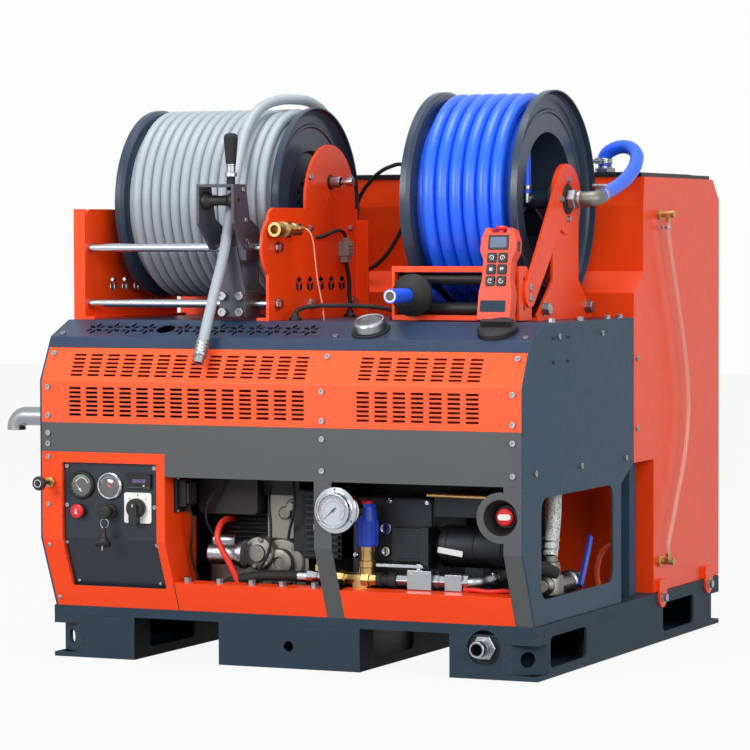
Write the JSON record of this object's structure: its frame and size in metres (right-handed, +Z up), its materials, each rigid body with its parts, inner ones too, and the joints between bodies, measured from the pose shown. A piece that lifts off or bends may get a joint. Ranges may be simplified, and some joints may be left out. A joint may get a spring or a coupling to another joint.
{
  "type": "skid-mounted drain jetter",
  "caption": "Drain jetter on a lifting skid: engine and pump behind a slotted cover, water tank, grey jetting hose and blue supply hose on spinning reels, control panel and remote.",
  "frame": {"origin": "on the floor, under the middle of the skid", "axes": "+X across the front to the viewer's right, +Y to the back, +Z up"},
  "size_m": [1.25, 1.272, 1.2028],
  "materials": {
    "orange_paint": "satin orange powder coat",
    "slate_paint": "satin dark slate powder coat",
    "grey_paint": "satin grey powder coat",
    "black_paint": "semi-gloss black paint",
    "black_plastic": "fine matt",
    "black_rubber": "matt",
    "zinc_steel": "bright zinc",
    "chrome_steel": "polished",
    "cast_metal": "cast",
    "brass_metal": "bright",
    "grey_hose": "satin grey cover",
    "blue_hose": "satin blue cover",
    "clear_hose": "clear",
    "red_plastic": "gloss",
    "blue_plastic": "gloss",
    "orange_plastic": "fine matt"
  },
  "bodies": {
    "chassis": {"skid_deck": "slate_paint", "skid_runners": "slate_paint", "side_panels": "slate_paint", "deck_cover": "slate_paint", "grille_panel": "orange_paint", "front_frame": "grey_paint", "lower_front_panels": "orange_paint", "control_panel": "grey_paint", "panel_instruments": "black_plastic", "pressure_gauge": "chrome_steel", "water_tank": "orange_paint", "tank_lid": "black_plastic", "fittings": "brass_metal", "sight_tube": "clear_hose", "feed_hose": "blue_hose", "panel_screws": "zinc_steel", "main_stand_left": "orange_paint", "main_stand_right": "orange_paint", "reel_bearings": "zinc_steel", "guide_rods": "chrome_steel", "supply_stands": "orange_paint", "guide_arm": "orange_paint", "fairlead_frame": "orange_paint", "supply_hose_tail": "blue_hose", "hose_stop": "black_rubber", "wiring": "black_plastic", "engine": "cast_metal", "pump": "cast_metal", "suction_line": "zinc_steel", "exhaust_pipe": "zinc_steel"},
    "main_reel": {"main_drum": "black_paint", "main_hose_winding": "grey_hose"},
    "supply_reel": {"supply_drum": "black_paint", "supply_hose_winding": "blue_hose"},
    "carriage": {"carriage_frame": "grey_paint", "main_hose_tail": "grey_hose", "main_hose_end": "zinc_steel"},
    "guide_roller": {"carriage_roller": "black_plastic"},
    "carriage_handle": {"carriage_grip": "black_rubber"},
    "fairlead_top": {"fairlead_roller_top": "black_plastic"},
    "fairlead_bottom": {"fairlead_roller_bottom": "black_plastic"},
    "key": {"ignition_key": "zinc_steel"},
    "selector": {"selector_knob": "black_plastic"},
    "start": {"start_button": "red_plastic"},
    "stop": {"stop_button": "red_plastic"},
    "choke": {"choke_knob": "black_plastic"},
    "lock": {"lock_plunger": "chrome_steel"},
    "unloader": {"unloader_knob": "blue_plastic"},
    "pump_valve": {"pump_valve_lever": "chrome_steel"},
    "suction_valve": {"suction_valve_lever": "blue_plastic"},
    "fuel": {"fuel_cap": "chrome_steel"},
    "filler": {"filler_cap": "black_plastic"},
    "remote": {"remote_body": "orange_plastic"},
    "remote_halt": {"remote_stop": "red_plastic"},
    "remote_button_1": {"remote_key_1": "black_plastic"},
    "remote_button_2": {"remote_key_2": "black_plastic"},
    "remote_button_3": {"remote_key_3": "black_plastic"},
    "remote_button_4": {"remote_key_4": "black_plastic"},
    "remote_button_5": {"remote_key_5": "black_plastic"},
    "remote_button_6": {"remote_key_6": "black_plastic"}
  },
  "joints": [
    {"name": "main_reel_spin", "type": "hinge", "parent": "chassis", "child": "main_reel", "pos_m": [-0.295, -0.2, 0.967], "axis": [1, 0, 0], "continuous": true},
    {"name": "supply_reel_spin", "type": "hinge", "parent": "chassis", "child": "supply_reel", "pos_m": [0.3135, -0.175, 0.971], "axis": [1, 0, 0], "continuous": true},
    {"name": "carriage_slide", "type": "slide", "parent": "chassis", "child": "carriage", "axis": [1, 0, 0], "range_m": [-0.295, 0.04]},
    {"name": "guide_roller_spin", "type": "hinge", "parent": "carriage", "child": "guide_roller", "pos_m": [-0.1715, -0.532, 0.97], "axis": [1, 0, 0], "continuous": true},
    {"name": "carriage_handle_turn", "type": "hinge", "parent": "carriage", "child": "carriage_handle", "pos_m": [-0.15, -0.524, 1.02], "axis": [0, 0, 1], "continuous": true},
    {"name": "fairlead_top_spin", "type": "hinge", "parent": "chassis", "child": "fairlead_top", "pos_m": [0.322, -0.412, 0.806], "axis": [1, 0, 0], "continuous": true},
    {"name": "fairlead_bottom_spin", "type": "hinge", "parent": "chassis", "child": "fairlead_bottom", "pos_m": [0.322, -0.412, 0.7448], "axis": [1, 0, 0], "continuous": true},
    {"name": "key_turn", "type": "hinge", "parent": "chassis", "child": "key", "pos_m": [-0.388, -0.622, 0.319], "axis": [0, 1, 0], "range_deg": [0, 60]},
    {"name": "selector_turn", "type": "hinge", "parent": "chassis", "child": "selector", "pos_m": [-0.321, -0.622, 0.328], "axis": [0, 1, 0], "range_deg": [-60, 60]},
    {"name": "start_press", "type": "slide", "parent": "chassis", "child": "start", "axis": [0, 1, 0], "range_m": [0, 0.003], "stiffness_N_per_m": 400},
    {"name": "stop_press", "type": "slide", "parent": "chassis", "child": "stop", "axis": [0, 1, 0], "range_m": [0, 0.005]},
    {"name": "choke_pull", "type": "slide", "parent": "chassis", "child": "choke", "axis": [0, -1, 0], "range_m": [0, 0.03]},
    {"name": "lock_push", "type": "slide", "parent": "chassis", "child": "lock", "axis": [-1, 0, 0], "range_m": [0, 0.036]},
    {"name": "unloader_turn", "type": "hinge", "parent": "chassis", "child": "unloader", "pos_m": [0.17, -0.545, 0.3], "axis": [0, 0, 1], "range_deg": [-150, 150]},
    {"name": "pump_valve_turn", "type": "hinge", "parent": "chassis", "child": "pump_valve", "pos_m": [0.285, -0.545, 0.22], "axis": [0, 0, 1], "range_deg": [0, 90]},
    {"name": "suction_valve_turn", "type": "hinge", "parent": "chassis", "child": "suction_valve", "pos_m": [0.515, -0.244, 0.172], "axis": [1, 0, 0], "range_deg": [0, 90]},
    {"name": "fuel_cap_turn", "type": "hinge", "parent": "chassis", "child": "fuel", "pos_m": [0.18, -0.546, 0.701], "axis": [0, -0.3996, 0.9167], "range_deg": [0, 90]},
    {"name": "filler_cap_turn", "type": "hinge", "parent": "chassis", "child": "filler", "pos_m": [0.461, -0.546, 0.701], "axis": [0, -0.3996, 0.9167], "range_deg": [0, 90]},
    {"name": "remote_lift", "type": "slide", "parent": "chassis", "child": "remote", "axis": [0, 0, 1], "range_m": [0, 0.12]},
    {"name": "remote_stop_press", "type": "slide", "parent": "remote", "child": "remote_halt", "axis": [0, -0.1908, -0.9816], "range_m": [0, 0.003], "stiffness_N_per_m": 400},
    {"name": "remote_key_1_press", "type": "slide", "parent": "remote", "child": "remote_button_1", "axis": [0, 0.9816, -0.1908], "range_m": [0, 0.0015], "stiffness_N_per_m": 400},
    {"name": "remote_key_2_press", "type": "slide", "parent": "remote", "child": "remote_button_2", "axis": [0, 0.9816, -0.1908], "range_m": [0, 0.0015], "stiffness_N_per_m": 400},
    {"name": "remote_key_3_press", "type": "slide", "parent": "remote", "child": "remote_button_3", "axis": [0, 0.9816, -0.1908], "range_m": [0, 0.0015], "stiffness_N_per_m": 400},
    {"name": "remote_key_4_press", "type": "slide", "parent": "remote", "child": "remote_button_4", "axis": [0, 0.9816, -0.1908], "range_m": [0, 0.0015], "stiffness_N_per_m": 400},
    {"name": "remote_key_5_press", "type": "slide", "parent": "remote", "child": "remote_button_5", "axis": [0, 0.9816, -0.1908], "range_m": [0, 0.0015], "stiffness_N_per_m": 400},
    {"name": "remote_key_6_press", "type": "slide", "parent": "remote", "child": "remote_button_6", "axis": [0, 0.9816, -0.1908], "range_m": [0, 0.0015], "stiffness_N_per_m": 400}
  ]
}
